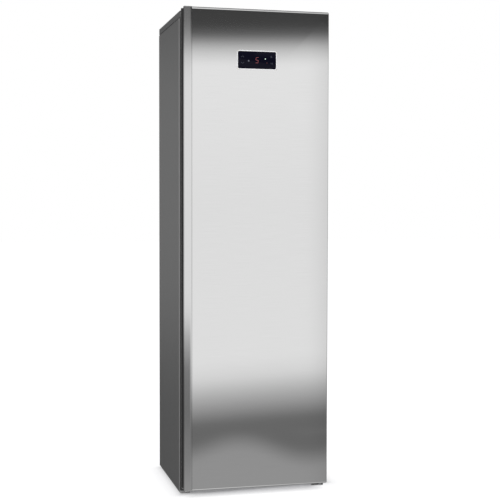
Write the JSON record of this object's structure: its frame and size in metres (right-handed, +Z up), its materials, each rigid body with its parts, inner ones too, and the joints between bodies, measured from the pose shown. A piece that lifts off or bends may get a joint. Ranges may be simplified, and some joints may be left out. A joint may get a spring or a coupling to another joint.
{
  "type": "freezerless refrigerator",
  "caption": "Tall freezerless refrigerator with a steel door hinged at the right, a full-height side grip, a front display, glass shelves, drawers, door bins and a rear condenser.",
  "frame": {"origin": "on the floor under the middle of the refrigerator", "axes": "+X to the right as seen from the front, +Y from the door to the back, +Z up"},
  "size_m": [0.595, 0.6, 1.95],
  "materials": {
    "cabinet_paint": "satin",
    "cover_plastic": "fine grained",
    "galvanised_sheet": "satin",
    "back_sheet": "satin",
    "foam": "matte",
    "white_plastic": "satin",
    "shelf_glass": "polished",
    "clear_plastic": "clear",
    "stop_plastic": "satin",
    "lamp_plastic": "frosted",
    "motor_plastic": "matte",
    "aluminium_plate": "satin",
    "zinc_plated_steel": "satin",
    "condenser_enamel": "satin",
    "copper_pipe": "satin",
    "black_rubber": "matte",
    "gasket_rubber": "matte",
    "tray_plastic": "matte",
    "stainless_door": "fine vertical brushing",
    "grip_aluminium": "fine brushed",
    "cap_plastic": "matte",
    "display_glass": "polished",
    "circuit_board": "satin"
  },
  "bodies": {
    "cabinet": {"side_panel_left": "cabinet_paint", "side_panel_right": "cabinet_paint", "top_cover": "cover_plastic", "top_sheet": "galvanised_sheet", "base_front_rail": "cabinet_paint", "base_pan": "galvanised_sheet", "back_panel": "back_sheet", "cabinet_foam": "foam", "inner_liner": "white_plastic", "crisper_cover_glass": "shelf_glass", "shelf_trims": "white_plastic", "shelf_glass_1": "shelf_glass", "shelf_glass_2": "shelf_glass", "shelf_glass_3": "shelf_glass", "shelf_glass_4": "shelf_glass", "ceiling_lamp_cover": "lamp_plastic", "fan_cover": "white_plastic", "fan_motor": "motor_plastic", "evaporator_plate": "aluminium_plate", "drain_tube": "white_plastic", "upper_hinge_bracket": "zinc_plated_steel", "lower_hinge_bracket": "zinc_plated_steel", "hinge_pins": "zinc_plated_steel", "hinge_screws": "zinc_plated_steel", "condenser_tube": "condenser_enamel", "condenser_wires": "condenser_enamel", "condenser_clips": "motor_plastic", "filter_dryer": "copper_pipe", "refrigerant_pipes": "copper_pipe", "compressor": "condenser_enamel", "compressor_grommets": "black_rubber", "terminal_box": "motor_plastic", "compressor_rail": "galvanised_sheet", "roller_axles": "zinc_plated_steel", "evaporation_tray": "tray_plastic"},
    "door": {"door_skin": "stainless_door", "grip_profile": "grip_aluminium", "grip_end_caps": "grip_aluminium", "door_top_cap": "cap_plastic", "door_bottom_cap": "cap_plastic", "hinge_bushes": "cap_plastic", "door_foam": "foam", "door_liner": "white_plastic", "door_gasket": "gasket_rubber", "display_window": "display_glass", "display_board": "circuit_board", "dairy_box": "clear_plastic", "door_bin_1": "clear_plastic", "door_bin_2": "clear_plastic", "door_bin_3": "clear_plastic", "bottle_bin": "clear_plastic"},
    "dairy_lid": {"dairy_lid": "clear_plastic"},
    "bottle_stop": {"bottle_stop": "stop_plastic"},
    "crisper_left": {"crisper_left": "clear_plastic"},
    "crisper_right": {"crisper_right": "clear_plastic"},
    "fan_rotor": {"fan_rotor": "white_plastic"},
    "rear_roller_left": {"rear_roller_left": "tray_plastic"},
    "rear_roller_right": {"rear_roller_right": "tray_plastic"},
    "levelling_foot_left": {"levelling_foot_left": "tray_plastic"},
    "levelling_foot_right": {"levelling_foot_right": "tray_plastic"}
  },
  "joints": [
    {"name": "door_hinge", "type": "hinge", "parent": "cabinet", "child": "door", "pos_m": [0.2775, -0.268, 0.975], "axis": [0, 0, 1], "range_deg": [0, 110]},
    {"name": "crisper_left_slide", "type": "slide", "parent": "cabinet", "child": "crisper_left", "axis": [0, -1, 0], "range_m": [0, 0.13]},
    {"name": "crisper_right_slide", "type": "slide", "parent": "cabinet", "child": "crisper_right", "axis": [0, -1, 0], "range_m": [0, 0.13]},
    {"name": "dairy_lid_hinge", "type": "hinge", "parent": "door", "child": "dairy_lid", "pos_m": [0, -0.2167, 1.7299], "axis": [1, 0, 0], "range_deg": [0, 80]},
    {"name": "bottle_stop_slide", "type": "slide", "parent": "door", "child": "bottle_stop", "axis": [1, 0, 0], "range_m": [-0.18, 0.18]},
    {"name": "fan_spin", "type": "hinge", "parent": "cabinet", "child": "fan_rotor", "pos_m": [0, 0.216, 1.7059], "axis": [0, -1, 0], "continuous": true},
    {"name": "rear_roller_left_spin", "type": "hinge", "parent": "cabinet", "child": "rear_roller_left", "pos_m": [-0.2555, 0.266, 0.014], "axis": [1, 0, 0], "continuous": true},
    {"name": "rear_roller_right_spin", "type": "hinge", "parent": "cabinet", "child": "rear_roller_right", "pos_m": [0.2555, 0.266, 0.014], "axis": [1, 0, 0], "continuous": true},
    {"name": "levelling_foot_left_screw", "type": "slide", "parent": "cabinet", "child": "levelling_foot_left", "axis": [0, 0, 1], "range_m": [-0.015, 0]},
    {"name": "levelling_foot_right_screw", "type": "slide", "parent": "cabinet", "child": "levelling_foot_right", "axis": [0, 0, 1], "range_m": [-0.015, 0]}
  ],
  "couplings": [
    {"joint": "crisper_left_slide", "follows": "door_hinge", "m_per_rad": 0.067706},
    {"joint": "crisper_right_slide", "follows": "door_hinge", "m_per_rad": 0.067706}
  ]
}
